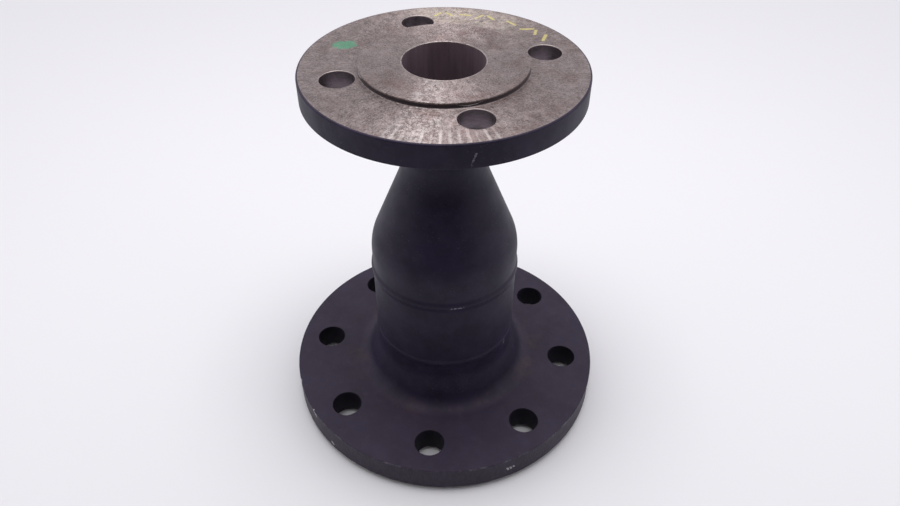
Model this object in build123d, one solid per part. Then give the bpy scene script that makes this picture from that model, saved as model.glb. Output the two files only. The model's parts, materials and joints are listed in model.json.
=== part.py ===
"""Flanged concentric reducer: a welded steel spool that joins DN80 pipework to DN40.

The spool stands on the raised face of its large flange. Origin: centre of that face. +Z runs
along the bore, towards the small flange. Millimetres throughout.
"""
from build123d import *
import os
from math import asin, atan2, degrees, hypot, radians, sqrt, tan

# Large end: tube and weld-neck flange, nominal bore 80, pressure class PN16
large_tube_diameter = 88.9
large_wall = 3.2
large_disc_diameter = 200.0
large_disc_thickness = 20.0      # sealing face to back face
large_face_diameter = 138.0      # raised sealing face
large_face_height = 3.0
large_hub_diameter = 105.0       # where the hub's taper would meet the back face
large_hub_fillet = 8.0
large_neck_straight = 10.0       # parallel stretch at the weld end of the neck
large_flange_height = 50.0       # sealing face to weld end
large_bolt_circle = 160.0
large_bolt_count = 8
large_bolt_hole = 18.0

# Small end: tube and weld-neck flange, nominal bore 40, pressure class PN16
small_tube_diameter = 48.3
small_wall = 2.6
small_disc_diameter = 150.0
small_disc_thickness = 16.0
small_face_diameter = 88.0
small_face_height = 3.0
small_hub_diameter = 64.0
small_hub_fillet = 6.0
small_neck_straight = 7.0
small_flange_height = 42.0
small_bolt_circle = 110.0
small_bolt_count = 4
small_bolt_hole = 18.0

# Details that both flanges share
back_edge_chamfer = 0.4          # rim of the disc, on the neck side
face_root_fillet = 0.8           # foot of the raised face

# Pipe and reducer
pipe_length = 47.0
reducer_length = 89.0
reducer_large_straight = 12.5    # parallel stretch at each end of the reducer
reducer_small_straight = 12.0
reducer_bend = 38.0              # outside radius where the cone runs into either end

# Butt welds
root_gap = 2.0
root_land = 1.5                  # square part of the bevelled wall
bevel_angle = 30.0               # from the square end of the wall
root_width = 3.0
root_height = 0.4                # how far the root stands into the bore
lower_cap_width = 8.0
lower_cap_height = 0.7
middle_cap_width = 10.0
middle_cap_height = 1.4
upper_cap_width = 6.0
upper_cap_height = 0.7

# Radii, and stations along the axis
large_radius = large_tube_diameter / 2
small_radius = small_tube_diameter / 2
large_bore = large_radius - large_wall
small_bore = small_radius - small_wall
pipe_start = large_flange_height + root_gap
pipe_end = pipe_start + pipe_length
reducer_start = pipe_end + root_gap
reducer_end = reducer_start + reducer_length
upper_neck_end = reducer_end + root_gap
overall_height = upper_neck_end + small_flange_height


def bevel_depth(wall):
    """Axial length of the bevel that leaves the root land on a wall."""
    return (wall - root_land) * tan(radians(bevel_angle))


def turned(section):
    """Solid of revolution about the bore's axis, from a section drawn as (radius, height)."""
    return revolve(section.sketch, Axis.Z)


def weld_neck_blank(bore, neck, disc, thickness, face, face_height, hub, hub_fillet, straight, height):
    """Flange before drilling: sealing face down at z = 0, neck up. Widths are radii."""
    with BuildSketch(Plane.XZ) as section:
        with BuildLine():
            Polyline(
                (bore, 0),
                (face, 0),
                (face, face_height),
                (disc, face_height),
                (disc, thickness - back_edge_chamfer),
                (disc - back_edge_chamfer, thickness),
                (hub, thickness),
                (neck, height - straight),
                (neck, height - bevel_depth(neck - bore)),
                (bore + root_land, height),
                (bore, height),
                close=True,
            )
        make_face()
        hub_foot = section.vertices().sort_by_distance((hub, thickness))[0]
        fillet(hub_foot, hub_fillet)
        face_foot = section.vertices().sort_by_distance((face, face_height))[0]
        fillet(face_foot, face_root_fillet)
    return turned(section)


def bolt_holes(circle, count, diameter, thickness):
    """Drills for one flange. The holes straddle the X and Y axes."""
    drill = Cylinder(diameter / 2, thickness, align=(Align.CENTER, Align.CENTER, Align.MIN))
    return PolarLocations(circle / 2, count, 180 / count) * drill


def lower_flange():
    blank = weld_neck_blank(
        large_bore, large_radius, large_disc_diameter / 2, large_disc_thickness,
        large_face_diameter / 2, large_face_height, large_hub_diameter / 2, large_hub_fillet,
        large_neck_straight, large_flange_height,
    )
    return blank - bolt_holes(
        large_bolt_circle, large_bolt_count, large_bolt_hole, large_disc_thickness
    )


def upper_flange():
    blank = weld_neck_blank(
        small_bore, small_radius, small_disc_diameter / 2, small_disc_thickness,
        small_face_diameter / 2, small_face_height, small_hub_diameter / 2, small_hub_fillet,
        small_neck_straight, small_flange_height,
    )
    drilled = blank - bolt_holes(
        small_bolt_circle, small_bolt_count, small_bolt_hole, small_disc_thickness
    )
    return Pos(0, 0, overall_height) * Rot(180, 0, 0) * drilled


def pipe_section():
    """Parallel tube, bevelled at both ends."""
    bevel = bevel_depth(large_wall)
    with BuildSketch(Plane.XZ) as section:
        with BuildLine():
            Polyline(
                (large_bore, pipe_start),
                (large_bore + root_land, pipe_start),
                (large_radius, pipe_start + bevel),
                (large_radius, pipe_end - bevel),
                (large_bore + root_land, pipe_end),
                (large_bore, pipe_end),
                close=True,
            )
        make_face()
    return turned(section)


def reducer_curve(large_end, small_end, large_bend, small_bend):
    """Bend, cone and bend that join two parallel stretches of the given radii.

    The bends are centred level with the ends of the parallel stretches, one centre inside the
    wall's line and one outside it, and the cone is the line that touches both bends.
    """
    start = reducer_start + reducer_large_straight
    rise = reducer_end - reducer_small_straight - start
    shift = (small_end + small_bend) - (large_end - large_bend)
    span = hypot(rise, shift)
    both_bends = large_bend + small_bend
    cone_angle = degrees(asin(both_bends / span) - atan2(shift, rise))
    first = JernArc((large_end, start), (0, 1), large_bend, cone_angle)
    cone = PolarLine(first @ 1, sqrt(span**2 - both_bends**2), direction=first % 1)
    second = JernArc(cone @ 1, cone % 1, small_bend, -cone_angle)
    return first, second


def reducer():
    """Concentric reducer whose wall thins evenly from the large end to the small end."""
    with BuildSketch(Plane.XZ) as section:
        with BuildLine():
            outer_first, outer_second = reducer_curve(
                large_radius, small_radius, reducer_bend, reducer_bend
            )
            inner_first, inner_second = reducer_curve(
                large_bore, small_bore, reducer_bend - large_wall, reducer_bend + small_wall
            )
            Polyline(
                outer_first @ 0,
                (large_radius, reducer_start + bevel_depth(large_wall)),
                (large_bore + root_land, reducer_start),
                (large_bore, reducer_start),
                inner_first @ 0,
            )
            Polyline(
                outer_second @ 1,
                (small_radius, reducer_end - bevel_depth(small_wall)),
                (small_bore + root_land, reducer_end),
                (small_bore, reducer_end),
                inner_second @ 1,
            )
        make_face()
    return turned(section)


def butt_weld(bore, radius, start, cap_width, cap_height):
    """Weld that fills the groove above height start, its root in the bore and its cap outside."""
    land = bore + root_land
    end = start + root_gap
    middle = start + root_gap / 2
    bevel = bevel_depth(radius - bore)
    with BuildSketch(Plane.XZ) as section:
        with BuildLine():
            root = ThreePointArc(
                (bore, middle - root_width / 2),
                (bore - root_height, middle),
                (bore, middle + root_width / 2),
            )
            cap = ThreePointArc(
                (radius, middle - cap_width / 2),
                (radius + cap_height, middle),
                (radius, middle + cap_width / 2),
            )
            Polyline(root @ 0, (bore, start), (land, start), (radius, start - bevel), cap @ 0)
            Polyline(root @ 1, (bore, end), (land, end), (radius, end + bevel), cap @ 1)
        make_face()
    return turned(section)


def lower_weld():
    return butt_weld(
        large_bore, large_radius, large_flange_height, lower_cap_width, lower_cap_height
    )


def middle_weld():
    return butt_weld(large_bore, large_radius, pipe_end, middle_cap_width, middle_cap_height)


def upper_weld():
    return butt_weld(small_bore, small_radius, reducer_end, upper_cap_width, upper_cap_height)


pieces = {
    "lower_flange": lower_flange(),
    "lower_weld": lower_weld(),
    "pipe_section": pipe_section(),
    "middle_weld": middle_weld(),
    "reducer": reducer(),
    "upper_weld": upper_weld(),
    "upper_flange": upper_flange(),
}

os.makedirs("parts", exist_ok=True)
for name, piece in pieces.items():
    export_step(piece, f"parts/{name}.step")
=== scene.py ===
"""Looks of a flanged concentric reducer: a welded pipe spool under satin charcoal paint, with the
small flange's face left bare from the lathe. Metres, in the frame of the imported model.
"""

import json
import math
from typing import NamedTuple

import bmesh
import bpy
from mathutils import Matrix, Vector


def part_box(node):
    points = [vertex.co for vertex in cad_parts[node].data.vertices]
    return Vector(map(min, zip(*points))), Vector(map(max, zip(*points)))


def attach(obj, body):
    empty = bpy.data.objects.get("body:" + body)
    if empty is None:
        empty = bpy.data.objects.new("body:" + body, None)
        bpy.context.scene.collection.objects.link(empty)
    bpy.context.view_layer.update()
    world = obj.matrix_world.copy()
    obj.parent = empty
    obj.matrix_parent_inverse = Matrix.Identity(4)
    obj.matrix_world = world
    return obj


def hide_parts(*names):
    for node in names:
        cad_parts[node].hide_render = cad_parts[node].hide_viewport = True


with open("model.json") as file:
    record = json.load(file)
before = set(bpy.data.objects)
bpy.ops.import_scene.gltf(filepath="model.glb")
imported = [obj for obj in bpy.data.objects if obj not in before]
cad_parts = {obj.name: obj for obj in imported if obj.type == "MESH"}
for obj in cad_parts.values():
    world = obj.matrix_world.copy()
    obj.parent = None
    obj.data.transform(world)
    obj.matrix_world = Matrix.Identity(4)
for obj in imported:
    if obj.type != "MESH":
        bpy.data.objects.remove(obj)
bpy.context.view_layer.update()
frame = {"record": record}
mounts = {mount["name"]: mount for mount in frame["record"]["mounts"]}

MM = 0.001
SEGMENTS = 512                    # round the axis, on a turned body
BEAD_SEGMENTS = 1080              # round a weld bead, fine enough for its ripples
DRILL_SEGMENTS = 96               # round a bolt hole
BEND_STEPS = 20                   # along each bend of the reducer
ROOT_STEPS = 8                    # across a weld's root
CAP_STEPS = 36                    # across a weld's cap
ARC_STEP = math.radians(15)       # largest turn between two points of a rounding
FLARE_STEP = math.radians(16)     # turn between two points of a bolt hole's rounded edge
FLARE_STEPS = 4
SHARP_ANGLE = math.radians(22)    # steeper edges than this are shaded as edges
SUPPORT = 0.25 * MM               # a ring this close to a rounding keeps the flat beside it flat


# ---------------------------------------------------------------- sizes

class Flange(NamedTuple):
    """Weld-neck flange, measured from its sealing face towards its neck. Widths are radii."""
    node: str
    bolts: str                    # the mount that gives its bolt pattern
    bore: float
    neck: float
    disc: float
    thickness: float
    face: float
    face_height: float
    hub: float
    hub_fillet: float
    straight: float
    height: float


def outer_radius(node):
    """Largest radius of a CAD node about the bore's axis."""
    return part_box(node)[1][0]


def node_height(node):
    """Length of a CAD node along the bore's axis."""
    low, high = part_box(node)
    return high[2] - low[2]


def mount_size(name, key):
    """A size of a mount, which the record gives in millimetres."""
    return mounts[name]["dims"][key] * MM


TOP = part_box("upper_flange")[1][2]
large = Flange(
    node="lower_flange", bolts="lower_bolts", bore=mount_size("lower_bore", "r_mm"),
    neck=outer_radius("pipe_section"), disc=outer_radius("lower_flange"), thickness=20 * MM,
    face=69 * MM, face_height=mounts["lower_bolts"]["pos_m"][2], hub=52.5 * MM,
    hub_fillet=11 * MM, straight=10 * MM, height=node_height("lower_flange"),
)
small = Flange(
    node="upper_flange", bolts="upper_bolts", bore=mount_size("upper_bore", "r_mm"),
    neck=24.15 * MM, disc=outer_radius("upper_flange"), thickness=16 * MM,
    face=44 * MM, face_height=TOP - mounts["upper_bolts"]["pos_m"][2], hub=32 * MM,
    hub_fillet=6 * MM, straight=7 * MM, height=node_height("upper_flange"),
)
FACE_LEVEL = TOP - small.face_height
EDGE = 0.35 * MM                  # broken edge of a turned corner
DISC_EDGE = 1 * MM                # rounded rim of a disc, on its sealing side
FACE_FOOT = 0.8 * MM              # fillet at the foot of the raised face
NECK_BLEND = 14 * MM              # where the hub's taper runs into the neck

REDUCER_BEND = 38 * MM            # outside radius where the cone runs into either end
REDUCER_LARGE_STRAIGHT = 12.5 * MM
REDUCER_SMALL_STRAIGHT = 12 * MM

BEVEL_SLOPE = math.tan(math.radians(30))
ROOT_LAND = 1.5 * MM              # square part of a bevelled wall
ROOT_HALF_GAP = 1 * MM
ROOT_HALF_WIDTH = 1.5 * MM
ROOT_PROUD = 0.4 * MM             # how far a weld's root stands into the bore
CAP_SHARE = 0.7                   # the caps lie a little lower than their greatest height
CAP_SKEW = 1.5                    # over 1, a cap's crest lies near its upper toe
RIPPLE_HEIGHT = 0.06 * MM
RIPPLE_BOW = 1.6                  # ripples that a crescent's ends trail behind its middle
RIPPLE_STRAY = 3.0                # ripples by which their spacing strays round the weld
CAP_WANDER = 0.25 * MM            # how far a cap's height strays
WANDER_LENGTH = 9 * MM            # from one such stray to the next
LARGE_RIPPLE_PITCH = 2.6 * MM
SMALL_RIPPLE_PITCH = 2.2 * MM


# ---------------------------------------------------------------- building blocks of the finishes

def linear(hex_colour):
    """sRGB hex to linear RGBA."""
    channels = [int(hex_colour[i:i + 2], 16) / 255 for i in (1, 3, 5)]
    return [c / 12.92 if c <= 0.04045 else ((c + 0.055) / 1.055) ** 2.4 for c in channels] + [1.0]


def radians(*degrees):
    """Angles in radians, from degrees."""
    return [math.radians(value) for value in degrees]


def add(tree, kind, inputs=None, **settings):
    """Adds a node, sets or links its inputs by name or number, and returns its outputs."""
    node = tree.nodes.new(kind)
    for key, value in settings.items():
        setattr(node, key, value)
    for key, value in (inputs or {}).items():
        if isinstance(value, bpy.types.NodeSocket):
            tree.links.new(value, node.inputs[key])
        else:
            node.inputs[key].default_value = value
    return node.outputs


def new_material(name):
    """Empty node material, and its tree."""
    material = bpy.data.materials.new(name)
    material.use_nodes = True
    material.node_tree.nodes.clear()
    return material, material.node_tree


def clouds(tree, place, size, low, high, start=0.0, end=1.0, detail=3.0, roughness=0.6):
    """Blots about size metres across: start where the noise is below low, end where above high."""
    noise = add(tree, "ShaderNodeTexNoise", {
        "Vector": place, "Scale": 1 / size, "Detail": detail, "Roughness": roughness,
    })[0]
    return add(tree, "ShaderNodeMapRange", {0: noise, 1: low, 2: high, 3: start, 4: end})[0]


def layers(tree, ground, coats):
    """Colour of a finish from the ground up: coats holds (colour, where it lies, its strength)."""
    colour = linear(ground)
    for hex_colour, cover, strength in coats:
        share = add(tree, "ShaderNodeMath", {0: cover, 1: strength}, operation="MULTIPLY")[0]
        inputs = {0: share, 6: colour, 7: linear(hex_colour)}
        colour = add(tree, "ShaderNodeMix", inputs, data_type="RGBA")[2]
    return colour


def overlap(tree, *masks):
    """1 where every mask is 1, and 0 where any of them is 0."""
    shared = masks[0]
    for mask in masks[1:]:
        shared = add(tree, "ShaderNodeMath", {0: shared, 1: mask}, operation="MULTIPLY")[0]
    return shared


def from_axis(tree, place):
    """Distance from the bore's axis."""
    level = add(tree, "ShaderNodeVectorMath", {0: place, 1: (1, 1, 0)}, operation="MULTIPLY")[0]
    return add(tree, "ShaderNodeVectorMath", {0: level}, operation="LENGTH")[1]


def band(tree, value, middle, half_width, soft):
    """1 where value is within half_width of the middle, fading to 0 over soft more."""
    off = add(tree, "ShaderNodeMath", {0: value, 1: middle}, operation="SUBTRACT")[0]
    off = add(tree, "ShaderNodeMath", {0: off}, operation="ABSOLUTE")[0]
    inputs = {0: off, 1: half_width, 2: half_width + soft, 3: 1.0, 4: 0.0}
    return add(tree, "ShaderNodeMapRange", inputs)[0]


def stroke(tree, place, start, end, half_width, ragged):
    """1 within half_width of the line from start to end, with a ragged edge, and 0 outside."""
    run = Vector(end) - Vector(start)
    inputs = {0: place, 1: start}
    from_start = add(tree, "ShaderNodeVectorMath", inputs, operation="SUBTRACT")[0]
    inputs = {0: from_start, 1: run / run.length_squared}
    along = add(tree, "ShaderNodeVectorMath", inputs, operation="DOT_PRODUCT")[1]
    share = add(tree, "ShaderNodeClamp", {0: along})[0]
    foot = add(tree, "ShaderNodeVectorMath", {0: run, "Scale": share}, operation="SCALE")[0]
    gap = add(tree, "ShaderNodeVectorMath", {0: from_start, 1: foot}, operation="DISTANCE")[1]
    gap = add(tree, "ShaderNodeMath", {0: gap, 1: ragged}, operation="ADD")[0]
    inputs = {0: gap, 1: half_width, 2: half_width * 1.3, 3: 1.0, 4: 0.0}
    return add(tree, "ShaderNodeMapRange", inputs)[0]


def strokes(tree, place, lines, ragged):
    """Union of several strokes: lines holds (start, end, half_width)."""
    cover = stroke(tree, place, *lines[0], ragged)
    for line in lines[1:]:
        other = stroke(tree, place, *line, ragged)
        cover = add(tree, "ShaderNodeMath", {0: cover, 1: other}, operation="MAXIMUM")[0]
    return cover


# ---------------------------------------------------------------- marks of making and handling

CHATTER_FLECKS = 103.0            # in a full turn
STREAK_RADIUS = 60 * MM           # where a radial streak has its drawn width
STREAK_STRETCH = 0.12             # width of a streak as a share of its length


def cylindrical(radius, azimuth, height):
    """Point at a radius and height in metres and an azimuth in degrees."""
    angle = math.radians(azimuth)
    return (radius * math.cos(angle), radius * math.sin(angle), height)


def mark(start, end, half_width):
    """Stroke between two points, each (radius, azimuth, height), in millimetres and degrees."""
    ends = [cylindrical(r * MM, azimuth, z * MM) for r, azimuth, z in (start, end)]
    return (*ends, half_width * MM)


CHIPS = [                         # all on the rim of the large disc
    mark((100, -133.6, 19.7), (100, -132.4, 19.5), 0.6),
    mark((100, -117.8, 19.4), (100, -116.4, 17.8), 0.7),
    mark((100, -116.0, 18.6), (100, -115.6, 16.6), 0.5),
    mark((100, -106.2, 7.6), (100, -105.6, 6.6), 0.8),
    mark((100, -38.4, 12.0), (100, -38.0, 10.4), 0.6),
    mark((100, -37.2, 11.8), (100, -36.9, 10.6), 0.6),
    mark((100, -36.1, 12.0), (100, -35.8, 11.4), 0.5),
    mark((100, 8.5, 19.0), (100, 10.5, 14.0), 0.6),
]
SCRATCHES = [                     # across the middle weld, by the lower weld, on the small rim
    mark((45.35, -55.7, 100.9), (45.35, -46.8, 101.2), 0.5),
    mark((44.7, -3.5, 52.3), (44.7, -2.3, 48.6), 0.6),
    mark((75, -49.8, 225.6), (75, -51.4, 219.2), 0.4),
]
GREEN_DOT = [((-59.6 * MM, -6.0 * MM, FACE_LEVEL), (-56.6 * MM, -4.2 * MM, FACE_LEVEL), 3.9 * MM)]
PEN_DASHES = [                    # azimuth and radius of both ends, and half the width
    (cylindrical(r0 * MM, a0, FACE_LEVEL), cylindrical(r1 * MM, a1, FACE_LEVEL), half * MM)
    for a0, r0, a1, r1, half in (
        (124, 62, 121, 66, 0.6), (118, 66, 115, 62, 0.6), (111, 64, 106, 64, 0.7),
        (102, 61, 100, 66, 0.6), (97, 66, 93, 63, 0.7), (86, 65, 80, 63, 0.6),
        (75, 61, 71, 66, 0.8), (69, 66, 66, 62, 0.7), (62, 66, 58, 61, 0.8),
    )
]


# ---------------------------------------------------------------- finishes

def satin_charcoal_paint():
    """Alkyd primer, sprayed over forged and drawn steel: near black, with a violet cast.

    The coarse pigment leaves a broad dull sheen with a faint orange peel, thicker in places. The
    rim of the large disc is rougher, as forged, and worn pale along its upper edge. Handling has
    left scratches, chips on the rim and pin-head dust, drawn coarser than it is so that it shows.
    What faces up is greyed partly by a thin coat of dust and partly by painted light from above.
    Dust turns brown round the foot of the large hub.
    """
    material, tree = new_material("satin_charcoal_paint")
    place = add(tree, "ShaderNodeTexCoord")["Object"]
    height = add(tree, "ShaderNodeSeparateXYZ", {0: place})[2]
    out = from_axis(tree, place)
    normal = add(tree, "ShaderNodeNewGeometry")["Normal"]
    facing = add(tree, "ShaderNodeSeparateXYZ", {0: normal})[2]
    level = add(tree, "ShaderNodeMapRange", {0: facing, 1: 0.5, 2: 0.95})[0]

    thick = clouds(tree, place, 20 * MM, 0.38, 0.62, detail=5.0, roughness=0.65)
    smears = clouds(tree, place, 7 * MM, 0.52, 0.75, detail=5.0, roughness=0.7)
    specks = clouds(tree, place, 0.8 * MM, 0.66, 0.76, detail=1.0)
    spread = clouds(tree, place, 18 * MM, 0.45, 0.7)
    # paler where the paint faces up: partly a coat of dust, partly painted light from above
    dust_and_top_light = clouds(tree, place, 25 * MM, 0.2, 0.7, 0.6, 1.0)

    foot = band(tree, out, large.hub + 5 * MM, 2 * MM, 12 * MM)
    low = band(tree, height, large.thickness, 1 * MM, 5 * MM)
    blots = clouds(tree, place, 16 * MM, 0.50, 0.70, detail=7.0, roughness=0.75)

    rim = band(tree, out, large.disc, 0.2 * MM, 0.2 * MM)
    upright = add(tree, "ShaderNodeMapping", {"Vector": place, "Scale": (1, 1, 0.25)})[0]
    forged = clouds(tree, upright, 1.3 * MM, 0.40, 0.66, detail=4.0, roughness=0.7)
    forged_rim = overlap(tree, rim, forged)
    worn = clouds(tree, place, 8 * MM, 0.50, 0.66, detail=6.0, roughness=0.75)
    top_edge = band(tree, height, large.thickness, 0.5 * MM, 0.8 * MM)

    ragged = clouds(tree, place, 0.9 * MM, 0.0, 1.0, -0.6 * MM, 0.6 * MM, roughness=0.7)
    broken = clouds(tree, place, 1.6 * MM, 0.36, 0.60)
    scratches = strokes(tree, place, SCRATCHES, ragged)
    chips = strokes(tree, place, CHIPS, ragged)

    colour = layers(tree, "#231d30", [
        ("#2c253b", thick, 1.0),
        ("#443e4c", smears, 0.25),
        ("#6b6670", overlap(tree, specks, spread), 0.6),
        ("#675b66", overlap(tree, level, dust_and_top_light), 0.16),
        ("#5e4a45", overlap(tree, foot, low, blots), 0.35),
        ("#2c2333", rim, 0.6),
        ("#463a4a", forged_rim, 0.4),
        ("#8d8890", overlap(tree, rim, top_edge, worn), 0.5),
        ("#918d96", overlap(tree, scratches, broken), 0.8),
        ("#b4b0b5", chips, 0.9),
    ])
    rough = clouds(tree, place, 20 * MM, 0.3, 0.7, 0.54, 0.46)
    peel = add(tree, "ShaderNodeBump", {
        "Height": clouds(tree, place, 1.6 * MM, 0.0, 1.0, detail=2.0),
        "Distance": 0.05 * MM, "Strength": 0.35,
    })[0]
    waves = add(tree, "ShaderNodeBump", {
        "Height": clouds(tree, place, 14 * MM, 0.0, 1.0, detail=2.0),
        "Distance": 0.3 * MM, "Strength": 0.3, "Normal": peel,
    })[0]
    relief = add(tree, "ShaderNodeBump", {
        "Height": forged_rim, "Distance": 0.2 * MM, "Strength": 0.5, "Normal": waves,
    })[0]
    shader = add(tree, "ShaderNodeBsdfPrincipled", {
        "Base Color": colour, "Roughness": rough, "Normal": relief,
        "IOR": 1.5, "Specular IOR Level": 0.2,
    })[0]
    add(tree, "ShaderNodeOutputMaterial", {"Surface": shader})
    return material


def radial_streaks(tree, angle, out):
    """Short streaks that run out from the bore."""
    inputs = {0: angle, 1: STREAK_RADIUS}
    around = add(tree, "ShaderNodeMath", inputs, operation="MULTIPLY")[0]
    inputs = {0: out, 1: STREAK_STRETCH}
    along = add(tree, "ShaderNodeMath", inputs, operation="MULTIPLY")[0]
    fanned = add(tree, "ShaderNodeCombineXYZ", {0: around, 1: along})[0]
    return clouds(tree, fanned, 0.9 * MM, 0.38, 0.62, roughness=0.7)


def chatter_and_glints(tree, angle, out):
    """Flecks of tool chatter, evenly spaced near the rim, painted pale as glints in the front fan.
    """
    inputs = {0: angle, 1: CHATTER_FLECKS}
    flecks = add(tree, "ShaderNodeMath", inputs, operation="MULTIPLY")[0]
    flecks = add(tree, "ShaderNodeMath", {0: flecks}, operation="SINE")[0]
    flecks = add(tree, "ShaderNodeMapRange", {0: flecks, 1: 0.1, 2: 1.0})[0]
    # painted glints: the real chatter flecks are drawn pale only over the front, where the fan
    # lights them
    stretch = band(tree, angle, *radians(-62, 18, 8))
    near_rim = band(tree, out, 70 * MM, 3 * MM, 7 * MM)
    own = add(tree, "ShaderNodeMath", {0: angle, 1: 30 * MM}, operation="MULTIPLY")[0]
    own = add(tree, "ShaderNodeCombineXYZ", {0: own})[0]
    patchy = clouds(tree, own, 1.6 * MM, 0.35, 0.6)
    return overlap(tree, flecks, stretch, near_rim, patchy)


def dabbed_dot(tree, place):
    """Dot of paint dabbed on with a brush: torn at its edge and thin in places."""
    torn = clouds(
        tree, place, 2 * MM, 0.25, 0.75, -2.6 * MM, 2.6 * MM, detail=6.0, roughness=0.8,
    )
    thin = clouds(tree, place, 1.4 * MM, 0.3, 0.6, 0.45, 0.9, detail=4.0, roughness=0.8)
    return overlap(tree, strokes(tree, place, GREEN_DOT, torn), thin)


def dry_pen(tree, place):
    """Plain dashes of a paint pen that was running dry."""
    ragged = clouds(tree, place, 1.2 * MM, 0.2, 0.8, -0.8 * MM, 0.8 * MM, roughness=0.75)
    dry = clouds(tree, place, 0.7 * MM, 0.25, 0.5, detail=2.0, roughness=0.8)
    return overlap(tree, strokes(tree, place, PEN_DASHES, ragged), dry, 0.8)


def turned_steel():
    """Carbon steel faced on a lathe and left bare, then handled and stored.

    The tool's rings stretch every highlight along the radius, so light fans out across the face.
    Fine grain, drawn coarser than it is so that it shows, breaks the fans into sparks and short
    radial streaks. Chatter shows as flecks near the rim, drawn pale only over the front where the
    fan lights them, so partly as painted glints. Oil and first rust show as brown and pink blots,
    storage as small dark pits. A wine-dark line of painted shade covers the side of the raised
    face. A sector at the front, darker with bright patches, is a painted highlight of the front
    fan. Smeared pen and a painted highlight of the back fan lighten the back of the rim.
    """
    material, tree = new_material("turned_steel")
    place = add(tree, "ShaderNodeTexCoord")["Object"]
    axes = add(tree, "ShaderNodeSeparateXYZ", {0: place})
    out = from_axis(tree, place)
    angle = add(tree, "ShaderNodeMath", {0: axes[1], 1: axes[0]}, operation="ARCTAN2")[0]

    blots = clouds(tree, place, 7 * MM, 0.35, 0.65, detail=5.0, roughness=0.7)
    patches = clouds(tree, place, 2.8 * MM, 0.40, 0.62, detail=5.0, roughness=0.75)
    grain = clouds(tree, place, 0.9 * MM, 0.40, 0.64, roughness=0.75)
    # painted highlight of the front fan: a darker sector at the front with bright patches in it
    front_fan_wedge = band(tree, angle, *radians(-72, 9, 4))
    glare_patches = clouds(tree, place, 2.4 * MM, 0.46, 0.56, detail=5.0, roughness=0.8)
    # painted highlight: a thin bright line along the bore's edge, broken by noise
    lip = band(tree, out, small.bore, 0.4 * MM, 0.3 * MM)
    lip = overlap(tree, lip, clouds(tree, place, 3 * MM, 0.3, 0.6))
    rust = clouds(tree, place, 15 * MM, 0.50, 0.70, detail=5.0, roughness=0.7)
    pits = clouds(tree, place, 1.1 * MM, 0.66, 0.73, detail=1.0)

    # pale tint at the back of the rim: partly smeared pen, partly a painted highlight that
    # brightens the back fan
    smear_and_back_glare = overlap(
        tree,
        band(tree, angle, *radians(106, 22, 14)),
        band(tree, out, 62 * MM, 7 * MM, 8 * MM),
        clouds(tree, place, 2 * MM, 0.38, 0.64, detail=5.0, roughness=0.8),
    )
    dot = dabbed_dot(tree, place)
    pen = dry_pen(tree, place)
    # painted shade: a wine-dark, non-metal line over the side of the raised face and its foot
    side = band(tree, out, small.face, 0.15 * MM, 0.25 * MM)
    below_lip = band(tree, axes[2], FACE_LEVEL + 1.0 * MM, 0.9 * MM, 0.6 * MM)
    painted_step_shade = overlap(tree, side, below_lip)

    colour = layers(tree, "#ad9e9d", [
        ("#716362", blots, 0.9),
        ("#483d3c", patches, 0.55),
        ("#e0d3d0", grain, 0.36),
        ("#5f5553", radial_streaks(tree, angle, out), 0.3),
        ("#625756", front_fan_wedge, 0.25),
        ("#eee4e1", overlap(tree, front_fan_wedge, glare_patches), 0.36),
        ("#f6eeea", lip, 0.4),
        ("#6f544d", rust, 0.45),
        ("#3f3534", pits, 0.8),
        ("#d6cecb", chatter_and_glints(tree, angle, out), 0.6),
        ("#f4e9d6", smear_and_back_glare, 0.34),
        ("#24855f", dot, 1.0),
        ("#c9be6c", pen, 1.0),
        ("#2c1f27", painted_step_shade, 1.0),
    ])
    metallic = 1.0
    for cover in (dot, pen, painted_step_shade):
        inputs = {0: metallic, 1: cover}
        metallic = add(tree, "ShaderNodeMath", inputs, operation="SUBTRACT", use_clamp=True)[0]

    rough = add(tree, "ShaderNodeMapRange", {0: patches, 3: 0.50, 4: 0.32})[0]
    by_radius = add(tree, "ShaderNodeCombineXYZ", {0: out})[0]
    rings = add(tree, "ShaderNodeBump", {
        "Height": clouds(tree, by_radius, 0.55 * MM, 0.0, 1.0, detail=2.0, roughness=0.8),
        "Distance": 0.02 * MM, "Strength": 0.4,
    })[0]
    sparks = add(tree, "ShaderNodeBump", {
        "Height": grain, "Distance": 0.10 * MM, "Strength": 0.65, "Normal": rings,
    })[0]
    tangent = add(tree, "ShaderNodeTangent", direction_type="RADIAL", axis="Z")[0]
    shader = add(tree, "ShaderNodeBsdfPrincipled", {
        "Base Color": colour, "Metallic": metallic, "Roughness": rough, "Normal": sparks,
        "Anisotropic": 0.88, "Anisotropic Rotation": 0.25, "Tangent": tangent,
    })[0]
    add(tree, "ShaderNodeOutputMaterial", {"Surface": shader})
    return material


def scaled_bore():
    """Inside of hot-drawn tube: dull brown-grey mill scale with long drawn streaks."""
    material, tree = new_material("mill_scale")
    place = add(tree, "ShaderNodeTexCoord")["Object"]
    drawn = add(tree, "ShaderNodeMapping", {"Vector": place, "Scale": (1, 1, 0.1)})[0]
    streaks = clouds(tree, drawn, 3.5 * MM, 0.35, 0.65, detail=4.0)
    specks = clouds(tree, place, 1.5 * MM, 0.6, 0.75)
    colour = layers(tree, "#7e6d76", [("#907e87", streaks, 1.0), ("#5f5055", specks, 0.4)])
    relief = add(tree, "ShaderNodeBump", {
        "Height": streaks, "Distance": 0.1 * MM, "Strength": 0.3,
    })[0]
    shader = add(tree, "ShaderNodeBsdfPrincipled", {
        "Base Color": colour, "Metallic": 0.5, "Roughness": 0.5, "Normal": relief,
    })[0]
    add(tree, "ShaderNodeOutputMaterial", {"Surface": shader})
    return material


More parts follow.
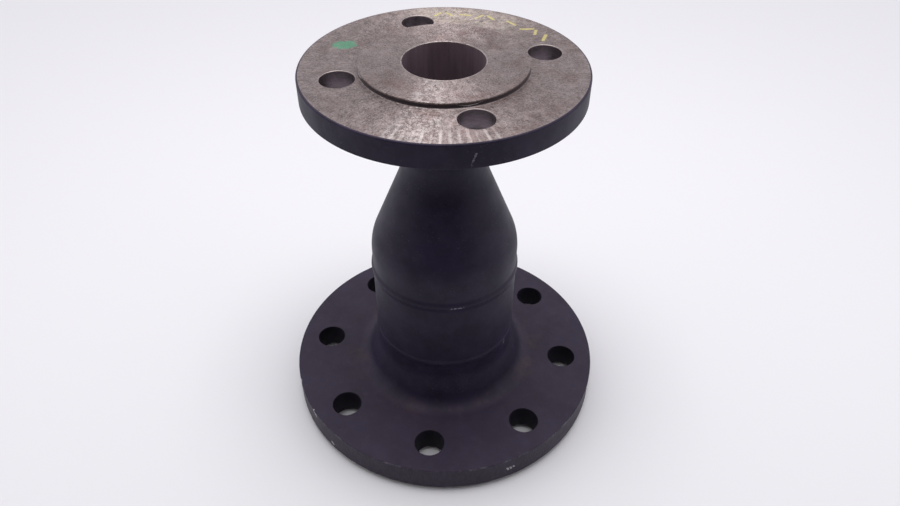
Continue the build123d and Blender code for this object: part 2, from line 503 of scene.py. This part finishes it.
def drilled_steel():
    """Wall of a hole drilled through the small disc: bare steel, scored round by the drill.

    A deburring tool has left its edge bright. Towards the bottom the wall turns dark and less
    metallic: painted shade in the hole.
    """
    material, tree = new_material("drilled_steel")
    place = add(tree, "ShaderNodeTexCoord")["Object"]
    height = add(tree, "ShaderNodeSeparateXYZ", {0: place})[2]
    spun = add(tree, "ShaderNodeMapping", {"Vector": place, "Scale": (0.15, 0.15, 1)})[0]
    scores = clouds(tree, spun, 0.5 * MM, 0.3, 0.7, roughness=0.7)
    lip = add(tree, "ShaderNodeMapRange", {
        0: height, 1: FACE_LEVEL - 0.7 * MM, 2: FACE_LEVEL - 0.3 * MM,
    })[0]
    # darker and less metallic towards the bottom of the wall: painted shade in the hole
    spread = add(tree, "ShaderNodeMapRange", {
        0: height, 1: FACE_LEVEL - 9 * MM, 2: FACE_LEVEL - 12 * MM,
    })[0]
    colour = layers(tree, "#6c6167", [
        ("#857a80", scores, 1.0), ("#b3a8a6", lip, 0.8), ("#1f1b27", spread, 1.0),
    ])
    inputs = {0: 0.9, 1: spread}
    metallic = add(tree, "ShaderNodeMath", inputs, operation="SUBTRACT", use_clamp=True)[0]
    relief = add(tree, "ShaderNodeBump", {
        "Height": scores, "Distance": 0.05 * MM, "Strength": 0.4,
    })[0]
    shader = add(tree, "ShaderNodeBsdfPrincipled", {
        "Base Color": colour, "Metallic": metallic, "Roughness": 0.45, "Normal": relief,
    })[0]
    add(tree, "ShaderNodeOutputMaterial", {"Surface": shader})
    return material


def dry_overspray():
    """Wall of a hole through the large disc: near black paint with no sheen, darker than the body's
    paint; the extra darkness is painted shade in the hole.

    Its grain is drawn coarser than it is, so that it shows.
    """
    material, tree = new_material("dry_overspray")
    place = add(tree, "ShaderNodeTexCoord")["Object"]
    grain = clouds(tree, place, 0.6 * MM, 0.3, 0.7)
    relief = add(tree, "ShaderNodeBump", {
        "Height": grain, "Distance": 0.1 * MM, "Strength": 0.5,
    })[0]
    # darker than the body's paint: painted shade in the hole
    shader = add(tree, "ShaderNodeBsdfPrincipled", {
        "Base Color": layers(tree, "#17131e", [("#25202f", grain, 1.0)]), "Roughness": 0.7,
        "Specular IOR Level": 0.25, "Normal": relief,
    })[0]
    add(tree, "ShaderNodeOutputMaterial", {"Surface": shader})
    return material


# ---------------------------------------------------------------- turned bodies

def rounded(corners):
    """Closed outline of a section with its corners rounded, and the finish of each run.

    corners holds (radius, height, rounding, finish of the run that leaves the corner).
    """
    points, finishes = [], []
    for index, (radius, height, rounding, finish) in enumerate(corners):
        here = Vector((radius, height))
        back = Vector(corners[index - 1][:2]) - here
        ahead = Vector(corners[(index + 1) % len(corners)][:2]) - here
        if not rounding:
            points.append(here)
            finishes.append(finish)
            continue
        half = back.angle(ahead) / 2
        reach = rounding / math.tan(half)
        first = here + back.normalized() * reach
        last = here + ahead.normalized() * reach
        inward = (back.normalized() + ahead.normalized()).normalized()
        centre = here + inward * (rounding / math.sin(half))
        steps = max(2, math.ceil((math.pi - 2 * half) / ARC_STEP))
        if back.length - reach > 3 * SUPPORT:
            points.append(first + back.normalized() * SUPPORT)
            finishes.append(corners[index - 1][3])
        turn = (first - centre).angle_signed(last - centre)
        for step in range(steps + 1):
            spoke = first - centre
            spoke.rotate(Matrix.Rotation(-turn * step / steps, 2))
            points.append(centre + spoke)
            finishes.append(finish)
        if ahead.length - reach > 3 * SUPPORT:
            points.append(last + ahead.normalized() * SUPPORT)
            finishes.append(finish)
    return points, finishes


def spun(outline, segments, closed):
    """Points and faces of an outline of (radius, height) turned about Z, closed or open."""
    rings = len(outline)
    verts = [
        (r * math.cos(math.tau * s / segments), r * math.sin(math.tau * s / segments), z)
        for s in range(segments) for r, z in outline
    ]
    faces = []
    for s in range(segments):
        this, following = s * rings, (s + 1) % segments * rings
        for k in range(rings if closed else rings - 1):
            ahead = (k + 1) % rings
            faces.append((this + k, this + ahead, following + ahead, following + k))
    return verts, faces


def new_object(name, data):
    """Object of a mesh, lamp or camera, linked into the scene."""
    thing = bpy.data.objects.new(name, data)
    bpy.context.scene.collection.objects.link(thing)
    return thing


def new_solid(name, verts, faces, slots, materials):
    """Object of a closed mesh, with a material slot for each face and all faces turned outwards."""
    mesh = bpy.data.meshes.new(name)
    mesh.from_pydata(verts, [], faces)
    mesh.polygons.foreach_set("material_index", slots)
    for material in materials:
        mesh.materials.append(material)
    work = bmesh.new()
    work.from_mesh(mesh)
    bmesh.ops.recalc_face_normals(work, faces=work.faces)
    work.to_mesh(mesh)
    work.free()
    return new_object(name, mesh)


def turned_body(name, points, finishes, materials, segments=SEGMENTS):
    """Closed solid of revolution of a closed outline about Z, with a material for each finish."""
    verts, faces = spun(points, segments, True)
    slots = [list(materials).index(finish) for finish in finishes] * segments
    return new_solid(name, verts, faces, slots, materials.values())


def geometry_tree(name, inputs, result):
    """Geometry Nodes tree with named inputs, and the sockets that they come in by."""
    tree = bpy.data.node_groups.new(name, "GeometryNodeTree")
    for label, kind in inputs.items():
        tree.interface.new_socket(label, in_out="INPUT", socket_type="NodeSocket" + kind)
    tree.interface.new_socket(result, in_out="OUTPUT", socket_type="NodeSocketGeometry")
    return tree, add(tree, "NodeGroupInput")


def shape_by(piece, tree, settings):
    """Runs a tree on a piece with the named inputs, and turns the result into plain mesh."""
    modifier = piece.modifiers.new(tree.name, "NODES")
    modifier.node_group = tree
    for item in tree.interface.items_tree:
        if item.in_out == "INPUT" and item.name in settings:
            modifier[item.identifier] = settings[item.name]
    evaluated = piece.evaluated_get(bpy.context.evaluated_depsgraph_get())
    mesh = bpy.data.meshes.new_from_object(evaluated)
    piece.modifiers.clear()
    old = piece.data
    piece.data = mesh
    mesh.name = old.name
    bpy.data.meshes.remove(old)


def dress(node, piece):
    """Shades a finished piece and sets it on the model in place of its CAD node."""
    piece.data.shade_smooth()
    piece.data.set_sharp_from_angle(angle=SHARP_ANGLE)
    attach(piece, "root")
    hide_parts(node)


# ---------------------------------------------------------------- flanges

def flange_section(flange):
    """Rounded outline of a flange, from its sealing face at height 0 to its bevelled weld end."""
    bevel = (flange.neck - flange.bore - ROOT_LAND) * BEVEL_SLOPE
    return rounded([
        (flange.bore, 0, EDGE, "bare"),
        (flange.face, 0, EDGE, "bare"),
        (flange.face, flange.face_height, FACE_FOOT, "bare"),
        (flange.disc, flange.face_height, DISC_EDGE, "paint"),
        (flange.disc, flange.thickness, EDGE, "paint"),
        (flange.hub, flange.thickness, flange.hub_fillet, "paint"),
        (flange.neck, flange.height - flange.straight, NECK_BLEND, "paint"),
        (flange.neck, flange.height - bevel, 0, "paint"),
        (flange.bore + ROOT_LAND, flange.height, 0, "paint"),
        (flange.bore, flange.height, 0, "bore"),
    ])


def bolt_hole_cutter(name, radius, low, high, material):
    """Cylinder that cuts one bolt hole, flaring over a rounded edge at both faces."""
    flare = [FLARE_STEP * step for step in range(FLARE_STEPS + 1)]
    clear = 2 * MM
    side = [
        (radius + EDGE * (1 - math.cos(a)), high - EDGE + EDGE * math.sin(a)) for a in flare
    ]
    rim, top = side[-1]
    side.append((rim + clear * math.tan(flare[-1]), top + clear))
    outline = [(r, low + high - z) for r, z in reversed(side)] + side
    verts, faces = spun(outline, DRILL_SEGMENTS, False)
    rings = len(outline)
    faces.append([s * rings for s in range(DRILL_SEGMENTS)])
    faces.append([s * rings + rings - 1 for s in range(DRILL_SEGMENTS)])
    return new_solid(name, verts, faces, [0] * len(faces), [material])


def drilling_tree():
    """Geometry Nodes that cut a circle of bolt holes out of a flange."""
    tree, given = geometry_tree("bolt_circle_drilling", {
        "Flange": "Geometry", "Drill": "Object", "Circle Radius": "Float",
        "Hole Count": "Int", "First Angle": "Float", "Wall Finish": "Material",
    }, "Drilled")
    ring = add(tree, "GeometryNodeMeshCircle", {
        "Vertices": given["Hole Count"], "Radius": given["Circle Radius"],
    })[0]
    turn = add(tree, "ShaderNodeCombineXYZ", {2: given["First Angle"]})[0]
    ring = add(tree, "GeometryNodeTransform", {"Geometry": ring, "Rotation": turn})[0]
    cutter = add(tree, "GeometryNodeObjectInfo", {"Object": given["Drill"]})["Geometry"]
    cutter = add(tree, "GeometryNodeStoreNamedAttribute", {
        "Geometry": cutter, "Name": "drilled", "Value": True,
    }, data_type="BOOLEAN", domain="FACE")[0]
    drills = add(tree, "GeometryNodeInstanceOnPoints", {"Points": ring, "Instance": cutter})[0]
    drills = add(tree, "GeometryNodeRealizeInstances", {"Geometry": drills})[0]
    cut = add(tree, "GeometryNodeMeshBoolean", {
        "Mesh 1": given["Flange"], "Mesh 2": drills,
    }, operation="DIFFERENCE", solver="EXACT")[0]
    walls = add(tree, "GeometryNodeInputNamedAttribute", {
        "Name": "drilled",
    }, data_type="BOOLEAN")[0]
    realized = add(tree, "GeometryNodeRealizeInstances", {"Geometry": cut})[0]
    done = add(tree, "GeometryNodeSetMaterial", {
        "Geometry": realized, "Selection": walls, "Material": given["Wall Finish"],
    })[0]
    add(tree, "NodeGroupOutput", {"Drilled": done})
    return tree


def drill_flange(piece, tree, bolts, low, high, wall):
    """Cuts the bolt holes of a mount's pattern through the disc between two heights."""
    dims = mounts[bolts]["dims"]
    cutter = bolt_hole_cutter(piece.name + "_drill", dims["hole_r_mm"] * MM, low, high, wall)
    shape_by(piece, tree, {
        "Drill": cutter, "Circle Radius": dims["pcd_mm"] / 2 * MM, "Hole Count": dims["count"],
        "First Angle": math.pi / dims["count"], "Wall Finish": wall,
    })
    bpy.data.objects.remove(cutter)


# ---------------------------------------------------------------- tube and reducer

def bevelled_wall(bore, neck, low, high, outside=(), inside=()):
    """Outline of a wall with bevelled ends, and the finish of each run.

    bore and neck hold a radius for each end, and outside and inside the points between the ends,
    all from low to high.
    """
    bevel, far_bevel = ((n - b - ROOT_LAND) * BEVEL_SLOPE for n, b in zip(neck, bore))
    painted = [
        (bore[0], low), (bore[0] + ROOT_LAND, low), (neck[0], low + bevel), *outside,
        (neck[1], high - far_bevel), (bore[1] + ROOT_LAND, high),
    ]
    scaled = [(bore[1], high), *reversed(inside)]
    finishes = ["paint"] * len(painted) + ["bore"] * len(scaled)
    return [Vector(point) for point in painted + scaled], finishes


def reducer_side(large_end, small_end, large_bend, small_bend, low, high):
    """Points of one side of the reducer's wall: bend, cone and bend."""
    start = low + REDUCER_LARGE_STRAIGHT
    rise = high - REDUCER_SMALL_STRAIGHT - start
    shift = (small_end + small_bend) - (large_end - large_bend)
    cone = math.asin((large_bend + small_bend) / math.hypot(rise, shift)) - math.atan2(shift, rise)
    angles = [cone * step / BEND_STEPS for step in range(BEND_STEPS + 1)]
    first = [
        (large_end - large_bend * (1 - math.cos(a)), start + large_bend * math.sin(a))
        for a in angles
    ]
    second = [
        (small_end + small_bend * (1 - math.cos(a)), start + rise - small_bend * math.sin(a))
        for a in reversed(angles)
    ]
    return first + second


# ---------------------------------------------------------------- welds

def ripple_tree():
    """Geometry Nodes that raise a weld cap's solidified ripples on a smooth ring.

    Each ripple is a crescent: it bows along the weld towards the cap's edges, and dies out there.
    """
    tree, given = geometry_tree("weld_ripples", {
        "Ring": "Geometry", "Tube Radius": "Float", "Cap Height": "Float", "Cap Middle": "Float",
        "Cap Half Width": "Float", "Ripple Count": "Int", "Ripple Height": "Float",
        "Bow": "Float", "Stray": "Float", "Wander": "Float", "Wanders per Metre": "Float",
        "Seed": "Float", "Finish": "Material",
    }, "Weld")
    position = add(tree, "GeometryNodeInputPosition")[0]
    axes = add(tree, "ShaderNodeSeparateXYZ", {0: position})
    level = add(tree, "ShaderNodeCombineXYZ", {0: axes[0], 1: axes[1]})[0]
    radius = add(tree, "ShaderNodeVectorMath", {0: level}, operation="LENGTH")[1]
    outward = add(tree, "ShaderNodeVectorMath", {0: level}, operation="NORMALIZE")[0]
    uneven = add(tree, "ShaderNodeTexNoise", {
        "Vector": position, "W": given["Seed"], "Scale": given["Wanders per Metre"],
        "Detail": 2.0,
    }, noise_dimensions="4D")[0]

    # across the cap: 0 at its middle, 1 at its toes
    across = add(tree, "ShaderNodeMath", {
        0: axes[2], 1: given["Cap Middle"],
    }, operation="SUBTRACT")[0]
    across = add(tree, "ShaderNodeMath", {
        0: across, 1: given["Cap Half Width"],
    }, operation="DIVIDE")[0]
    across = add(tree, "ShaderNodeMath", {0: across, 1: across}, operation="MULTIPLY")[0]

    # along the weld, counted in ripples
    bowed = add(tree, "ShaderNodeMath", {0: across, 1: given["Bow"]}, operation="MULTIPLY")[0]
    turn = add(tree, "ShaderNodeMath", {0: axes[1], 1: axes[0]}, operation="ARCTAN2")[0]
    turn = add(tree, "ShaderNodeMath", {0: turn, 1: math.tau}, operation="DIVIDE")[0]
    count = add(tree, "ShaderNodeMath", {
        0: turn, 1: given["Ripple Count"], 2: bowed,
    }, operation="MULTIPLY_ADD")[0]
    count = add(tree, "ShaderNodeMath", {
        0: uneven, 1: given["Stray"], 2: count,
    }, operation="MULTIPLY_ADD")[0]

    # rounded crests with sharp dips between them, no higher than the smooth ring
    ripple = add(tree, "ShaderNodeMath", {0: count, 1: math.pi}, operation="MULTIPLY")[0]
    ripple = add(tree, "ShaderNodeMath", {0: ripple}, operation="SINE")[0]
    ripple = add(tree, "ShaderNodeMath", {0: ripple}, operation="ABSOLUTE")[0]
    ripple = add(tree, "ShaderNodeMath", {0: ripple, 1: 1.0}, operation="SUBTRACT")[0]
    wander = add(tree, "ShaderNodeMath", {0: uneven, 1: 0.5}, operation="SUBTRACT")[0]
    wander = add(tree, "ShaderNodeMath", {0: wander, 1: given["Wander"]}, operation="MULTIPLY")[0]
    lift = add(tree, "ShaderNodeMath", {
        0: ripple, 1: given["Ripple Height"], 2: wander,
    }, operation="MULTIPLY_ADD")[0]

    # full at the crest, fading to nothing where the cap meets the tube
    proud = add(tree, "ShaderNodeMath", {
        0: radius, 1: given["Tube Radius"],
    }, operation="SUBTRACT")[0]
    share = add(tree, "ShaderNodeMath", {
        0: proud, 1: given["Cap Height"],
    }, operation="DIVIDE", use_clamp=True)[0]
    lift = add(tree, "ShaderNodeMath", {0: lift, 1: share}, operation="MULTIPLY")[0]
    lift = add(tree, "ShaderNodeMath", {0: lift, 1: 0.0}, operation="MINIMUM")[0]
    offset = add(tree, "ShaderNodeVectorMath", {0: outward, "Scale": lift}, operation="SCALE")[0]
    moved = add(tree, "GeometryNodeSetPosition", {"Geometry": given["Ring"], "Offset": offset})[0]
    realized = add(tree, "GeometryNodeRealizeInstances", {"Geometry": moved})[0]
    done = add(tree, "GeometryNodeSetMaterial", {
        "Geometry": realized, "Material": given["Finish"],
    })[0]
    add(tree, "NodeGroupOutput", {"Weld": done})
    return tree


def weld_section(bore, neck, middle, cap_half, cap_height):
    """Outline of a butt weld: its root, the groove's upper side, its cap and the lower side."""
    land = bore + ROOT_LAND
    bevel = (neck - land) * BEVEL_SLOPE
    bend = (ROOT_HALF_WIDTH ** 2 + ROOT_PROUD ** 2) / (2 * ROOT_PROUD)
    reach = math.asin(ROOT_HALF_WIDTH / bend)
    angles = [reach * (2 * step / ROOT_STEPS - 1) for step in range(ROOT_STEPS + 1)]
    root = [
        (bore - ROOT_PROUD + bend * (1 - math.cos(a)), middle + bend * math.sin(a))
        for a in angles
    ]
    groove = [
        (bore, middle + ROOT_HALF_GAP), (land, middle + ROOT_HALF_GAP),
        (neck, middle + ROOT_HALF_GAP + bevel),
    ]
    shares = [step / CAP_STEPS for step in range(CAP_STEPS + 1)]
    cap = [
        (neck + cap_height * math.sin(math.pi * (1 - share) ** CAP_SKEW) ** 2,
         middle + cap_half * (1 - 2 * share))
        for share in shares
    ]
    mirrored = [(r, 2 * middle - z) for r, z in reversed(groove)]
    return root + groove + cap + mirrored


def weld_bead(node, tree, flange, pitch, material, seed):
    """Butt weld: a ring that fills the groove, with a rippled cap outside and a root inside."""
    low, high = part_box(node)
    middle, cap_half = (low[2] + high[2]) / 2, (high[2] - low[2]) / 2
    cap_height = CAP_SHARE * (high[0] - flange.neck)
    points = weld_section(flange.bore, flange.neck, middle, cap_half, cap_height)
    finishes = ["paint"] * len(points)
    bead = turned_body(node + "_bead", points, finishes, {"paint": material}, BEAD_SEGMENTS)
    shape_by(bead, tree, {
        "Tube Radius": flange.neck, "Cap Height": cap_height, "Cap Middle": middle,
        "Cap Half Width": cap_half, "Ripple Count": round(math.tau * flange.neck / pitch),
        "Ripple Height": RIPPLE_HEIGHT, "Bow": RIPPLE_BOW, "Stray": RIPPLE_STRAY,
        "Wander": CAP_WANDER, "Wanders per Metre": 1 / WANDER_LENGTH, "Seed": seed,
        "Finish": material,
    })
    return bead


# ---------------------------------------------------------------- the pieces

paint = satin_charcoal_paint()
bare = turned_steel()
scale = scaled_bore()
drilled = drilled_steel()
lower_hole_walls = dry_overspray()
flange_finishes = {"paint": paint, "bare": bare, "bore": scale}
wall_finishes = {"paint": paint, "bore": scale}

drilling = drilling_tree()
large_body = turned_body("large_flange_body", *flange_section(large), flange_finishes)
drill_flange(large_body, drilling, large.bolts, large.face_height, large.thickness, lower_hole_walls)
dress(large.node, large_body)

points, finishes = flange_section(small)
points = [Vector((point.x, TOP - point.y)) for point in points]
small_body = turned_body("small_flange_body", points, finishes, flange_finishes)
drill_flange(small_body, drilling, small.bolts, TOP - small.thickness, FACE_LEVEL, drilled)
dress(small.node, small_body)

low, high = (corner[2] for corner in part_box("pipe_section"))
points, finishes = bevelled_wall(
    (large.bore, large.bore), (large.neck, large.neck), low, high,
)
dress("pipe_section", turned_body("pipe_shell", points, finishes, wall_finishes))

low, high = (corner[2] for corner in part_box("reducer"))
large_wall, small_wall = large.neck - large.bore, small.neck - small.bore
outside = reducer_side(large.neck, small.neck, REDUCER_BEND, REDUCER_BEND, low, high)
inside = reducer_side(
    large.bore, small.bore, REDUCER_BEND - large_wall, REDUCER_BEND + small_wall, low, high,
)
points, finishes = bevelled_wall(
    (large.bore, small.bore), (large.neck, small.neck), low, high, outside, inside,
)
dress("reducer", turned_body("reducer_shell", points, finishes, wall_finishes))

ripples = ripple_tree()
for node, flange, pitch, seed in (
    ("lower_weld", large, LARGE_RIPPLE_PITCH, 3.0),
    ("middle_weld", large, LARGE_RIPPLE_PITCH, 7.0),
    ("upper_weld", small, SMALL_RIPPLE_PITCH, 11.0),
):
    dress(node, weld_bead(node, ripples, flange, pitch, paint, seed))


# ---------------------------------------------------------------- stage, light and camera

CAMERA_AZIMUTH = -60.6            # degrees, about the bore's axis
CAMERA_REACH = 0.34876            # metres out from the axis
CAMERA_HEIGHT = 0.40481
AIM_HEIGHT = 0.10498
AIM_SIDE = 0.00335                # the camera aims this far right of the axis
CAMERA_ROLL = 0.189               # degrees
LENS_MM = 29.671
SENSOR_MM = 36.0

FLOOR_REACH = 4.0                 # metres from the axis to each side of the floor
FLAG_DISTANCE = 0.62              # metres from the axis, behind the camera
FLAG_LEFT, FLAG_RIGHT = 1.0, 0.8  # metres to either side, as the camera sees it
FLAG_HEIGHT = 0.8
ROOM_STRENGTH = 0.94
LAMP_WIDTH, LAMP_DEPTH = 0.5, 0.3
LAMP_HEIGHT = 0.9
LAMP_WATTS = 3.1


def matt(name, hex_colour):
    """Even matt finish for the stage."""
    material, tree = new_material(name)
    shader = add(tree, "ShaderNodeBsdfDiffuse", {"Color": linear(hex_colour)})[0]
    add(tree, "ShaderNodeOutputMaterial", {"Surface": shader})
    return material


def stage_card(name, corners, material):
    """Flat card on the stage, from its corners in order."""
    mesh = bpy.data.meshes.new(name)
    mesh.from_pydata(corners, [], [range(len(corners))])
    mesh.materials.append(material)
    card = new_object(name, mesh)
    return card


def black_flag():
    """Velvet card behind the camera, so that the spool's near sides mirror something dark."""
    toward = Vector(cylindrical(1.0, CAMERA_AZIMUTH, 0))
    side = Vector((-toward.y, toward.x, 0))
    left = toward * FLAG_DISTANCE - side * FLAG_LEFT
    right = toward * FLAG_DISTANCE + side * FLAG_RIGHT
    up = Vector((0, 0, FLAG_HEIGHT))
    corners = [left, right, right + up, left + up]
    flag = stage_card("black_flag", corners, matt("black_velvet", "#0c0c0d"))
    flag.visible_camera = False


def pale_room(strength):
    """Even pale light from all round, as in a light tent."""
    world = bpy.data.worlds.new("tent")
    bpy.context.scene.world = world
    world.use_nodes = True
    tree = world.node_tree
    tree.nodes.clear()
    inputs = {"Color": linear("#f5f3f7"), "Strength": strength}
    lit = add(tree, "ShaderNodeBackground", inputs)[0]
    add(tree, "ShaderNodeOutputWorld", {"Surface": lit})


def overhead_softbox():
    """Rectangular lamp that faces straight down, its width across the camera's view."""
    lamp = bpy.data.lights.new("overhead", "AREA")
    lamp.shape = "RECTANGLE"
    lamp.size, lamp.size_y = LAMP_WIDTH, LAMP_DEPTH
    lamp.energy = LAMP_WATTS
    light = new_object("overhead", lamp)
    light.location = (0.0, 0.0, LAMP_HEIGHT)
    light.rotation_euler = (0, 0, math.radians(CAMERA_AZIMUTH + 90))


def product_camera():
    """Camera above the small flange's rim, looking down at the spool."""
    camera = bpy.data.cameras.new("camera")
    camera.lens = LENS_MM
    camera.sensor_width = SENSOR_MM
    camera.clip_start = 10 * MM
    viewer = new_object("camera", camera)
    azimuth = math.radians(CAMERA_AZIMUTH)
    right = Vector((-math.sin(azimuth), math.cos(azimuth), 0))
    position = Vector(cylindrical(CAMERA_REACH, CAMERA_AZIMUTH, CAMERA_HEIGHT))
    target = Vector((0, 0, AIM_HEIGHT)) + right * AIM_SIDE
    turn = (target - position).to_track_quat("-Z", "Y").to_matrix()
    roll = Matrix.Rotation(math.radians(CAMERA_ROLL), 3, "Z")
    viewer.matrix_world = Matrix.Translation(position) @ (turn @ roll).to_4x4()
    bpy.context.scene.camera = viewer


floor_corners = [
    (x * FLOOR_REACH, y * FLOOR_REACH, 0) for x, y in ((-1, -1), (1, -1), (1, 1), (-1, 1))
]
stage_card("floor", floor_corners, matt("white_board", "#f0f0f3"))
black_flag()
pale_room(ROOM_STRENGTH)
overhead_softbox()
product_camera()
bpy.context.scene.view_settings.view_transform = "Standard"
